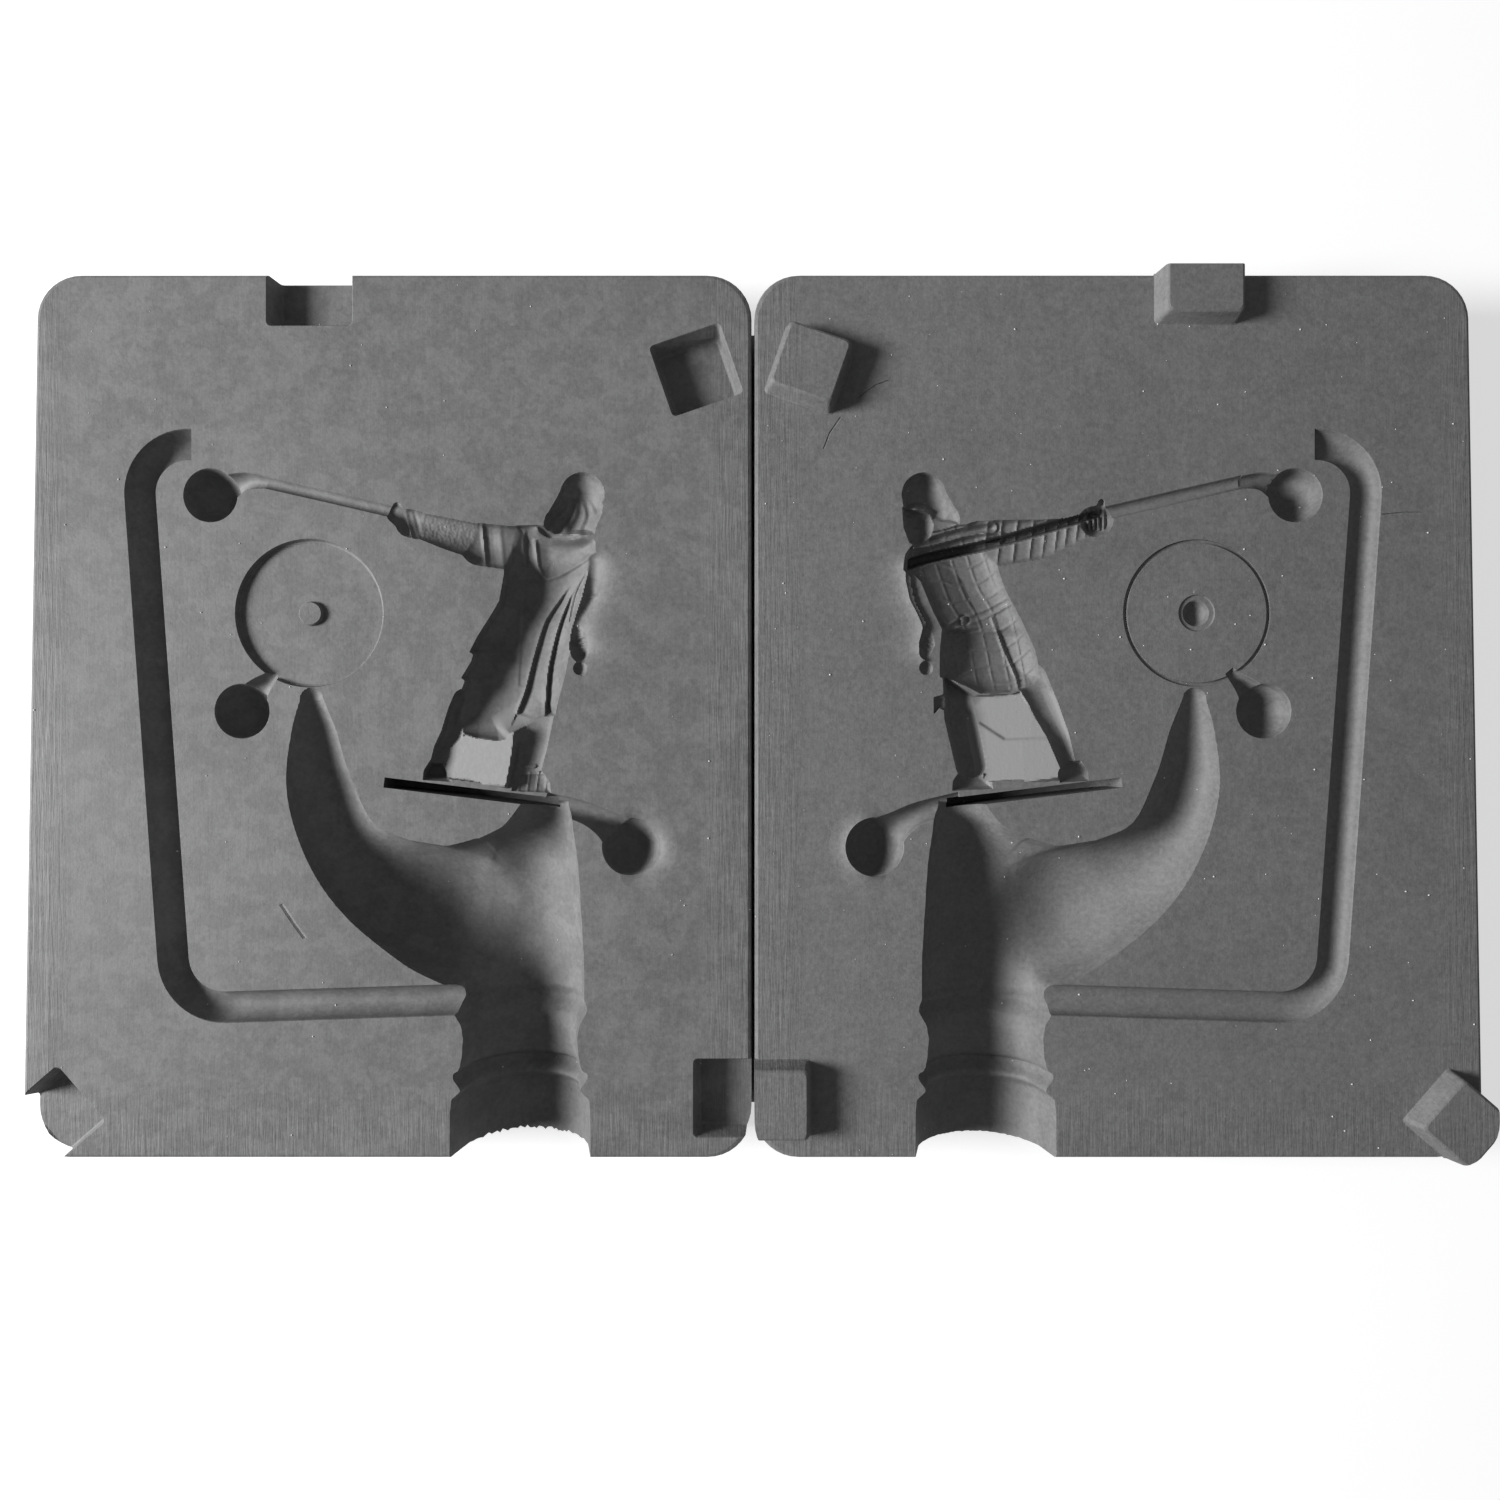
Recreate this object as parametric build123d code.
from build123d import *
import math
import os

# Two-part rubber mould for casting a small metal spearman, lying open with both parting faces up.
# The back half has four sockets and the front half four lugs. When the front half is turned over
# the line between them, the lugs seat in the sockets and the two halves of each cavity meet.
# All sizes are millimetres. The row frame has +X across the pair, +Y away from the pour mouths
# and +Z up. Its origin lies on the table at the middle of the pair.
#
# Cavities are drawn once, as the solid casting inside the closed mould. There u runs outwards
# from the inner edge, v upwards from the pour edge, and z is the height over the parting plane:
# below 0 it lies in the back half, above 0 in the front half.

# Mould blocks
block_height = 120.0
block_bottom_width = 99.0
block_top_width = 97.0
block_thickness = 11.0
corner_radius = 6.0
block_edge_break = 0.5
gap_between_halves = 0.4

# Locating lugs, and the room round them in their sockets
lug_height = 3.0
lug_draft_deg = 9.0
lug_corner_break = 0.8
lug_edge_break = 0.4
socket_clearance = 0.15
socket_extra_depth = 0.35
lug_overrun = 3.0
top_lug_u = 60.0
top_lug_width = 11.3
top_lug_reach = 6.8
turned_lug_u = 7.5
turned_lug_v = 107.0
turned_lug_size = 9.7
turned_lug_turn = 19.0
inner_lug_v = 8.2
inner_lug_reach = 7.7
inner_lug_length = 10.3
corner_lug_u = 94.7
corner_lug_v = 5.6
corner_lug_size = 9.6
corner_lug_turn = 41.0

# Pour sprue, turned about an axis in the parting plane
sprue_u = 31.4
mouth_radius = 9.8
mouth_end_v = 7.0
rib_radius = 8.4
rib_v = 9.2
band_radius = 9.2
band_v = 11.4
waist_radius = 8.1
waist_v = 16.0
sprue_top_radius = 9.15
sprue_top_v = 20.5
waist_steps = 4
mouth_overrun = 4.0

# Round forms are drawn with a many-sided section, with corners in the parting plane.
# The number of sides is a multiple of four.
large_sides = 24
small_sides = 12
vent_sides = 16

# Trunk from the sprue up to the figure's base: v, middle u, radius
trunk_stations = [
    (23.5, 31.3, 8.9),
    (27.0, 31.0, 8.5),
    (34.0, 30.5, 7.6),
    (40.0, 30.3, 7.0),
    (44.3, 29.1, 5.2),
    (49.0, 27.6, 3.3),
]

# Curved feeder from the trunk to the shield: u, v, radius
feeder_stations = [
    (34.6, 29.4, 8.4),
    (42.6, 33.6, 8.9),
    (50.4, 37.6, 7.1),
    (55.6, 42.6, 5.5),
    (58.6, 50.2, 4.8),
    (59.3, 58.4, 4.0),
    (59.6, 65.0, 1.7),
]
feeder_steps = 2

# Web that rounds the crotch between trunk and feeder: u, v, radius at its upper and lower end
web_top = (31.6, 40.4, 4.3)
web_foot = (38.8, 36.9, 5.3)

# Air vent from the sprue's neck up the outer side
vent_radius = 1.95
vent_start_u = 38.0
vent_start_v = 21.6
vent_low_u = 78.1
vent_low_v = 20.3
vent_high_u = 83.6
vent_high_v = 97.2
vent_end_u = 76.1
vent_end_v = 97.0
vent_low_bend = 7.0
vent_high_bend = 6.4
vent_bend_steps = 4

# Round overflow wells, and the necks that feed them
well_radius = 3.65
tip_well_u = 73.4
tip_well_v = 90.0
tip_neck_radius = 1.9
shield_well_u = 69.1
shield_well_v = 60.7
shield_neck_radius = 1.7
base_well_u = 16.3
base_well_v = 42.3
base_well_radius = 3.9
base_neck_u = 22.0
base_neck_v = 46.3
base_neck_radius = 1.6
gate_radius = 0.7

# Shield
shield_u = 60.0
shield_v = 74.0
shield_radius = 10.0
shield_thickness = 1.1
shield_rim_width = 0.6
shield_rim_depth = 0.35
shield_boss_radius = 1.7
shield_seat_radius = 2.4
shield_seat_depth = 0.3
shield_hole_radius = 1.6
shield_hole_depth = 0.6

# Figure's base, an oval plate seen edge on
base_u = 38.15
base_v = 49.6
base_length = 23.4
base_depth = 14.0
base_thickness = 1.85
base_slope_deg = 6.9

# Spear and the fist that holds it
spear_radius = 0.75
spear_tip_u = 66.0
spear_tip_v = 91.7
fist_u = 47.7
fist_v = 87.2
fist_radius = 1.9
fist_height = 0.6
spear_front_height = 1.5
spear_butt_u = 20.7
spear_butt_v = 80.9
spear_butt_height = 3.9
finger_radius = 0.45
finger_pitch = 0.78
finger_u = 46.4
finger_top_v = 88.2
finger_foot_v = 86.1
finger_height = 2.3

# Ringed sleeve of the near arm: distance from the shoulder and radius at each crease
shoulder = (29.8, 82.8, 0.2)
wrist = (45.8, 86.2, 0.3)
sleeve_creases = [
    (0.0, 2.9),
    (3.3, 2.9),
    (5.5, 2.8),
    (7.7, 2.5),
    (9.4, 2.2),
    (11.1, 1.9),
    (12.6, 1.6),
    (16.2, 1.4),
]
sleeve_roll = 0.35

# Head: the helmet is turned about a leaning axis, with distance below the crown and radius
crown_u = 22.6
crown_v = 93.0
neck_u = 25.4
neck_v = 82.0
helmet_profile = [(0.0, 0.0), (0.35, 1.35), (1.2, 2.35), (2.5, 3.0), (4.4, 3.2), (6.6, 3.0)]
neck_radius = 2.4
face_u = 22.4
face_v = 86.4
face_radius = 2.3
face_height = 0.5

# Coif over the figure's neck: v, middle u, radius
coif_stations = [(88.8, 23.5, 3.15), (86.1, 24.8, 3.75), (84.3, 24.2, 3.0)]

# Cloak: v, inner edge, two fold valleys, outer edge, depth
cloak_levels = [
    (85.4, 24.4, 25.5, 26.9, 31.6, 2.2),
    (82.0, 21.1, 22.6, 24.0, 33.0, 4.0),
    (78.5, 22.1, 23.9, 25.7, 33.6, 4.8),
    (74.5, 23.3, 25.6, 27.7, 35.0, 5.2),
    (68.6, 24.7, 27.4, 29.9, 38.4, 5.6),
    (68.1, 24.8, 27.4, 30.0, 37.9, 5.6),
    (65.2, 25.3, 27.9, 31.2, 39.4, 5.8),
    (64.7, 25.4, 28.0, 31.4, 38.9, 5.8),
    (57.0, 26.8, 29.3, 33.8, 41.7, 6.1),
]
cloak_short_hem_v = 59.9
cloak_short_hem_u = 32.8
hood_corners = [(28.9, 85.0), (26.9, 77.2), (20.9, 82.1)]
hood_point = (25.4, 81.6)
hood_base_height = -3.4
hood_height = -6.8

# Padded coat and skirt: v, inner edge, outer edge, height
coat_levels = [
    (84.8, 22.4, 30.4, 2.0),
    (81.0, 20.6, 32.6, 4.0),
    (77.0, 22.9, 34.1, 4.6),
    (72.6, 25.0, 36.5, 4.3),
    (68.0, 24.9, 38.2, 5.15),
    (63.4, 25.4, 38.6, 5.4),
]
coat_edge_height = 0.5

# Quilting of the coat: pads in columns and rows, with sunk seams between them
pad_columns = 5
pad_rows = 9
pad_seam_depth = 0.4
pad_seam_share = 0.2

# Belt, its buckle, and the scarf round the shoulders
belt_u = 30.4
belt_v = 73.4
belt_width = 1.4
belt_turn = -16.5
belt_rise = 0.3
buckle_u = 28.4
buckle_v = 73.0
buckle_size = 1.9
buckle_height = 4.9
scarf_u = 27.3
scarf_v = 83.2
scarf_width = 1.1
scarf_turn = -10.0
scarf_rise = 0.6
band_reach = 20.0
band_steps = 5

# Shut-off faces, sunk in the back half and standing up from the front half. They slope away
# from the parting plane beside the hanging arm and in the opening between the legs.
arm_shut_top_v = 83.5
arm_shut_foot_v = 65.5
arm_shut_taper = 3.5
arm_shut_outer_u = 17.8
arm_shut_inner_u = 22.0
arm_shut_depth = 1.3
leg_shut_corners = [
    (31.0, 63.0),
    (39.5, 64.0),
    (42.2, 57.5),
    (43.3, 54.8),
    (41.6, 51.4),
    (32.0, 51.2),
    (29.5, 57.0),
]
leg_shut_start_u = 30.5
leg_shut_slope = 0.22

plane_margin = 1.0


def at(u, v, z=0.0):
    return Vector(-u, v, z)


def ring(plane, radius, sides):
    """Many-sided section with two corners in the parting plane. The plane's x runs along z."""
    turns = [2 * math.pi * i / sides for i in range(sides)]
    corners = [(radius * math.cos(a), radius * math.sin(a)) for a in turns]
    return plane * make_face(Polyline(*corners, close=True))


def turned(start, end, profile, sides):
    """Many-sided turned form along a line. The profile gives distance from start and radius."""
    a = at(*start)
    along = (at(*end) - a).normalized()
    sections = []
    for distance, radius in profile:
        middle = a + along * distance
        if radius == 0:
            sections.append(Vertex(*middle))
        else:
            sections.append(ring(Plane(origin=middle, x_dir=(0, 0, 1), z_dir=along), radius, sides))
    return loft(sections, ruled=True)


def rod(start, end, start_radius, end_radius, sides=small_sides):
    """Round bar or cone between two (u, v, z) points."""
    length = (at(*end) - at(*start)).length
    return turned(start, end, [(0, start_radius), (length, end_radius)], sides)


def ball(u, v, radius, z=0.0, sides=small_sides):
    cuts = sides // 2
    turns = [math.pi * i / cuts for i in range(1, cuts)]
    middle = [(radius - radius * math.cos(a), radius * math.sin(a)) for a in turns]
    profile = [(0, 0)] + middle + [(2 * radius, 0)]
    return turned((u, v - radius, z), (u, v + radius, z), profile, sides)


def half_outline():
    corners = [
        at(0, 0),
        at(0, block_height),
        at(block_top_width, block_height),
        at(block_bottom_width, 0),
    ]
    sketch = make_face(Polyline(*corners, close=True))
    return fillet(sketch.vertices(), corner_radius)


def blank_block():
    block = extrude(half_outline(), amount=-block_thickness)
    faces = block.faces().sort_by(Axis.Z)
    edges = faces[0].edges() + faces[-1].edges()
    return chamfer(edges, block_edge_break)


def lug_footprints():
    """Place, size and turn of the four lugs. Those on an edge run over it and are trimmed."""
    top_length = top_lug_reach + lug_overrun
    inner_width = inner_lug_reach + lug_overrun
    return [
        (top_lug_u, block_height - top_lug_reach + top_length / 2, top_lug_width, top_length, 0.0),
        (turned_lug_u, turned_lug_v, turned_lug_size, turned_lug_size, turned_lug_turn),
        (inner_lug_reach - inner_width / 2, inner_lug_v, inner_width, inner_lug_length, 0.0),
        (corner_lug_u, corner_lug_v, corner_lug_size, corner_lug_size, corner_lug_turn),
    ]


def lug_shape(footprint, height, clearance):
    """A tapered lug on the plane z = 0, with a straight root below it."""
    u, v, width, length, turn = footprint
    grow = 2 * clearance
    outline = Rectangle(width + grow, length + grow)
    sketch = chamfer(outline.vertices(), lug_corner_break)
    place = Pos(at(u, v)) * Rot(0, 0, turn)
    upper = extrude(place * sketch, amount=height, taper=lug_draft_deg)
    root = extrude(place * sketch, amount=-plane_margin)
    return upper + root


def add_lugs(block):
    prism = extrude(half_outline(), amount=lug_height + plane_margin, both=True)
    for footprint in lug_footprints():
        lug = lug_shape(footprint, lug_height, 0.0)
        lug = chamfer(lug.edges().group_by(Axis.Z)[-1], lug_edge_break)
        block = block + mirror(lug & prism, about=Plane.YZ)
    return block


def cut_sockets(block):
    for footprint in lug_footprints():
        socket = lug_shape(footprint, lug_height + socket_extra_depth, socket_clearance)
        block = block - mirror(socket, about=Plane.XY)
    return block


def sprue_and_trunk():
    """The pour mouth, its rib and waist, and the trunk that narrows up to the figure's base."""
    waist = ThreePointArc((band_radius, band_v), (waist_radius, waist_v), (sprue_top_radius, sprue_top_v))
    stations = [
        (-mouth_overrun, sprue_u, mouth_radius),
        (mouth_end_v, sprue_u, mouth_radius),
        (rib_v, sprue_u, rib_radius),
    ]
    for i in range(waist_steps + 1):
        point = waist @ (i / waist_steps)
        stations.append((point.Y, sprue_u, point.X))
    return level_loft(stations + trunk_stations, large_sides)


def level_loft(stations, sides):
    """Round form of level sections, each given by v, its middle's u, and its radius."""
    sections = []
    for v, u, radius in stations:
        plane = Plane(origin=at(u, v), x_dir=(0, 0, 1), z_dir=(0, 1, 0))
        sections.append(ring(plane, radius, sides))
    return loft(sections, ruled=True)


def smooth_between(stations, steps):
    """Extra stations on a smooth curve through the given ones."""
    points = [Vector(*station) for station in stations]
    ends = [points[0] * 2 - points[1]] + points + [points[-1] * 2 - points[-2]]
    run = []
    for i in range(1, len(points)):
        a, b, c, d = ends[i - 1 : i + 3]
        for step in range(steps):
            t = step / steps
            bend = (a * -1 + c) * t + (a * 2 - b * 5 + c * 4 - d) * t**2 + (b * 3 - a - c * 3 + d) * t**3
            run.append(b + bend * 0.5)
    return run + [points[-1]]


def feeder():
    run = smooth_between(feeder_stations, feeder_steps)
    sections = []
    for i, station in enumerate(run):
        ahead = run[min(i + 1, len(run) - 1)] - run[max(i - 1, 0)]
        plane = Plane(origin=at(station.X, station.Y), x_dir=(0, 0, 1), z_dir=(-ahead.X, ahead.Y, 0))
        sections.append(ring(plane, station.Z, large_sides))
    return loft(sections, ruled=True)


def vent():
    rounded = FilletPolyline(
        at(vent_start_u, vent_start_v),
        at(vent_low_u, vent_low_v),
        at(vent_high_u, vent_high_v),
        at(vent_end_u, vent_end_v),
        radius=[vent_low_bend, vent_high_bend],
    )
    points = [rounded @ 0]
    for edge in rounded.edges():
        steps = vent_bend_steps if edge.geom_type == GeomType.CIRCLE else 1
        points += [edge @ (i / steps) for i in range(1, steps + 1)]
    path = Polyline(*points)
    start = Plane(origin=path @ 0, x_dir=(0, 0, 1), z_dir=path % 0)
    return sweep(ring(start, vent_radius, vent_sides), path=path, transition=Transition.RIGHT)


def wells():
    base_neck = (base_neck_u, base_neck_v, 0)
    return [
        ball(tip_well_u, tip_well_v, well_radius, sides=large_sides),
        rod(
            (tip_well_u - tip_neck_radius, tip_well_v + 0.4, 0),
            (spear_tip_u, spear_tip_v, 0),
            tip_neck_radius,
            gate_radius,
        ),
        ball(shield_well_u, shield_well_v, well_radius, sides=large_sides),
        rod(
            (shield_well_u - 2.0, shield_well_v + 2.4, 0),
            (64.6, 65.9, -0.4),
            shield_neck_radius,
            gate_radius,
        ),
        ball(base_well_u, base_well_v, base_well_radius, sides=large_sides),
        rod((base_well_u + 1.2, base_well_v + 1.3, 0), base_neck, 2.4, base_neck_radius),
        ball(base_neck_u, base_neck_v, base_neck_radius),
        rod(base_neck, (27.5, 48.3, 0), base_neck_radius, 1.0),
    ]


def shield_back():
    depth = shield_thickness + plane_margin
    disc = Pos(at(shield_u, shield_v, (plane_margin - shield_thickness) / 2)) * Cylinder(shield_radius, depth)
    hole_middle = shield_hole_depth / 2 - shield_thickness
    hole = Pos(at(shield_u, shield_v, hole_middle)) * Cylinder(shield_hole_radius, shield_hole_depth)
    return disc - hole


def shield_front():
    middle = Pos(at(shield_u, shield_v))
    outer = middle * Cylinder(shield_radius, 2 * shield_rim_depth)
    inner = middle * Cylinder(shield_radius - shield_rim_width, 4 * shield_rim_depth)
    seat = middle * Cylinder(shield_seat_radius, 2 * shield_seat_depth)
    return [outer - inner, seat, ball(shield_u, shield_v, shield_boss_radius, shield_seat_depth)]


def figure_base():
    plane = Plane(origin=at(base_u, base_v), x_dir=(1, 0, 0), z_dir=(0, 1, 0))
    slab = extrude(plane * Ellipse(base_length / 2, base_depth / 2), amount=base_thickness / 2, both=True)
    return slab.rotate(Axis(at(base_u, base_v), (0, 0, 1)), -base_slope_deg)


def spear_shaft():
    tip = (spear_tip_u + 0.5, spear_tip_v + 0.1, 0.2)
    return rod(tip, (fist_u, fist_v, fist_height), spear_radius, spear_radius)


def spear_front():
    start = (fist_u + 0.6, fist_v + 0.1, spear_front_height)
    butt = (spear_butt_u, spear_butt_v, spear_butt_height)
    return rod(start, butt, spear_radius, spear_radius)


def head_parts():
    crown = (crown_u, crown_v, 0)
    neck = (neck_u, neck_v, 0)
    rim = helmet_profile[-1][0]
    length = (at(*neck) - at(*crown)).length
    return [
        turned(crown, neck, helmet_profile, small_sides),
        turned(crown, neck, [(rim - 0.5, neck_radius), (length, neck_radius)], small_sides),
    ]


def face():
    return ball(face_u, face_v, face_radius, face_height)


def coif():
    return level_loft(coif_stations, small_sides)


def level_face(v, points):
    """A closed section across the figure at height v, through (u, z) points."""
    return make_face(Polyline(*[at(u, v, z) for u, z in points], close=True))


def cloak():
    """The figure's back: a cloak in long folds from the shoulders to the calves."""
    sections = []
    for v, inner, fold_b, fold_a, outer, depth in cloak_levels:
        wide = outer - fold_a
        points = [
            (inner, plane_margin),
            (inner, -0.15 * depth),
            (inner + 0.4 * (fold_b - inner), -0.62 * depth),
            (fold_b, -0.5 * depth),
            (fold_b + 0.45 * (fold_a - fold_b), -0.88 * depth),
            (fold_a, -0.72 * depth),
            (fold_a + 0.22 * wide, -1.0 * depth),
            (fold_a + 0.6 * wide, -0.95 * depth),
            (fold_a + 0.86 * wide, -0.62 * depth),
            (outer, -0.2 * depth),
            (outer, plane_margin),
        ]
        sections.append(level_face(v, points))
    body = loft(sections, ruled=True)
    hem = Pos(at(cloak_short_hem_u - 10.0, cloak_short_hem_v - 5.0)) * Box(20.0, 10.0, 30.0)
    return body - hem


def hood():
    base = make_face(Polyline(*[at(u, v, hood_base_height) for u, v in hood_corners], close=True))
    return loft([base, Vertex(at(*hood_point, hood_height))])


def coat_at(v):
    """Inner edge, outer edge and height of the coat, in straight lines between its levels."""
    for upper, lower in zip(coat_levels, coat_levels[1:]):
        if v >= lower[0]:
            break
    share = (upper[0] - v) / (upper[0] - lower[0])
    return [a + (b - a) * share for a, b in zip(upper[1:], lower[1:])]


def coat_section(v, seams, rise):
    """Section of the coat at height v. Its seams lie in a column at each of the given shares across."""
    inner, outer, height = coat_at(v)
    points = [(inner, -plane_margin), (inner, coat_edge_height)]
    for share, sunk in seams:
        top = height * math.sqrt(math.sin(math.pi * share)) + rise
        points.append((inner + share * (outer - inner), max(top - sunk, coat_edge_height)))
    points += [(outer, coat_edge_height), (outer, -plane_margin)]
    return level_face(v, points)


def coat():
    """The figure's front: a quilted coat and skirt down to the knees."""
    top, foot = coat_levels[0][0], coat_levels[-1][0]
    pitch = (top - foot) / pad_rows
    sections = []
    for row in range(pad_rows + 1):
        for part, seam in ((0, pad_seam_depth), (pad_seam_share, 0), (1 - pad_seam_share, 0)):
            v = top - (row + part) * pitch
            if v < foot - pitch * pad_seam_share / 2:
                continue
            seams = []
            for column in range(pad_columns):
                seams.append(((column + pad_seam_share) / pad_columns, seam))
                seams.append(((column + 1 - pad_seam_share) / pad_columns, seam))
                if column < pad_columns - 1:
                    seams.append(((column + 1) / pad_columns, pad_seam_depth))
            sections.append(coat_section(max(v, foot), seams, 0))
    return loft(sections, ruled=True)


def coat_band(u, v, width, turn, rise):
    """A strip round the coat that stands out from it, such as its belt."""
    shares = [((i + 0.5) / band_steps, 0) for i in range(band_steps)]
    form = loft([coat_section(level[0], shares, rise) for level in coat_levels], ruled=True)
    slab = Pos(at(u, v)) * Rot(0, 0, turn) * Box(band_reach, width, band_reach)
    return form & slab


def dress():
    plate = Box(buckle_size, buckle_size, 2 * buckle_height)
    buckle = Pos(at(buckle_u, buckle_v)) * Rot(0, 0, belt_turn) * plate
    return [
        coat(),
        coat_band(belt_u, belt_v, belt_width, belt_turn, belt_rise),
        coat_band(scarf_u, scarf_v, scarf_width, scarf_turn, scarf_rise),
        buckle,
    ]


def sleeve_front():
    """The near arm's sleeve: soft rolls with a crease between each two."""
    profile = []
    for (start, start_radius), (end, end_radius) in zip(sleeve_creases, sleeve_creases[1:]):
        roll = (start_radius + end_radius) / 2 + sleeve_roll
        reach = end - start
        profile += [(start, start_radius), (start + 0.3 * reach, roll), (end - 0.3 * reach, roll)]
    return turned(shoulder, wrist, profile + [sleeve_creases[-1]], small_sides)


def fingers():
    run = []
    for i in range(4):
        u = finger_u + i * finger_pitch
        start = (u, finger_top_v, finger_height - finger_radius)
        run.append(rod(start, (u - 0.2, finger_foot_v, finger_height), finger_radius, finger_radius, 8))
    return run


def sleeve_back():
    return [
        rod((29.5, 82.7, 0), (37.4, 83.4, 0), 3.2, 2.8),
        rod((36.8, 83.6, 0), (46.6, 86.2, 0), 2.5, 1.75),
    ]


def arms():
    return [
        rod((45.8, 86.0, 0), (46.8, 86.3, 0), 2.05, 2.05),
        ball(fist_u, fist_v, fist_radius, fist_height),
        rod((22.2, 82.2, 0), (21.6, 76.2, 0), 1.7, 1.15),
        rod((21.6, 76.6, 0), (23.6, 70.0, 0.2), 1.15, 1.0),
        rod((23.6, 70.4, 0.2), (23.2, 67.8, 0.2), 1.25, 1.0),
        ball(23.5, 66.6, 0.95, sides=8),
    ]


def legs():
    return [
        rod((27.6, 66.0, 0.6), (29.9, 52.8, 0.6), 2.1, 1.75),
        rod((29.9, 53.0, 0.6), (30.1, 50.2, 0.6), 1.8, 2.7),
        rod((36.2, 66.0, -0.4), (40.7, 58.6, -0.6), 2.8, 1.6),
        rod((40.3, 59.2, -0.6), (42.6, 53.8, -0.6), 1.7, 1.0),
        rod((42.6, 54.0, -0.6), (42.9, 51.4, -0.6), 1.0, 2.0),
    ]


def arm_shut_off():
    wedge = [
        (arm_shut_outer_u, plane_margin),
        (arm_shut_outer_u, 0),
        (arm_shut_inner_u, -arm_shut_depth),
        (arm_shut_inner_u, plane_margin),
    ]
    flat = [(u, max(z, 0)) for u, z in wedge]
    flat[2] = (arm_shut_inner_u, 0)
    return loft(
        [
            level_face(arm_shut_foot_v, flat),
            level_face(arm_shut_foot_v + arm_shut_taper, wedge),
            level_face(arm_shut_top_v - arm_shut_taper, wedge),
            level_face(arm_shut_top_v, flat),
        ],
        ruled=True,
    )


def leg_shut_off():
    reach = max(u for u, v in leg_shut_corners) - leg_shut_start_u
    slope = [
        (leg_shut_start_u - plane_margin, plane_margin),
        (leg_shut_start_u - plane_margin, 0),
        (leg_shut_start_u, 0),
        (leg_shut_start_u + reach, -leg_shut_slope * reach),
        (leg_shut_start_u + reach, plane_margin),
    ]
    low, high = min(v for u, v in leg_shut_corners), max(v for u, v in leg_shut_corners)
    wedge = loft([level_face(low, slope), level_face(high, slope)], ruled=True)
    outline = make_face(Polyline(*[at(u, v) for u, v in leg_shut_corners], close=True))
    return wedge & extrude(outline, amount=block_thickness, both=True)


def shut_offs():
    """Sloping faces where the halves meet off the parting plane, cut from one and added to the other."""
    return [arm_shut_off(), leg_shut_off()]


def shared_cavities():
    top_u, top_v, top_radius = web_top
    foot_u, foot_v, foot_radius = web_foot
    web = [
        rod((top_u, top_v, 0), (foot_u, foot_v, 0), top_radius, foot_radius, large_sides),
        ball(foot_u, foot_v, foot_radius, sides=large_sides),
    ]
    single = [sprue_and_trunk(), feeder(), *web, vent(), figure_base(), spear_shaft()]
    return single + wells() + head_parts() + arms() + legs()


def back_half():
    block = cut_sockets(blank_block())
    cavities = shared_cavities() + sleeve_back() + [shield_back(), cloak(), hood(), coif()]
    block = block.cut(*cavities, *shut_offs())
    return Pos(-gap_between_halves / 2, -block_height / 2, block_thickness) * block


def front_half():
    turn_over = Rot(0, 180, 0)
    block = add_lugs(mirror(blank_block(), about=Plane.YZ))
    for shut_off in shut_offs():
        block = block + turn_over * shut_off
    cavities = shared_cavities() + shield_front() + dress() + fingers()
    cavities += [face(), sleeve_front(), spear_front()]
    block = block.cut(*[turn_over * cavity for cavity in cavities])
    return Pos(gap_between_halves / 2, -block_height / 2, block_thickness) * block


os.makedirs("parts", exist_ok=True)
export_step(back_half(), "parts/back_mould_half.step")
export_step(front_half(), "parts/front_mould_half.step")
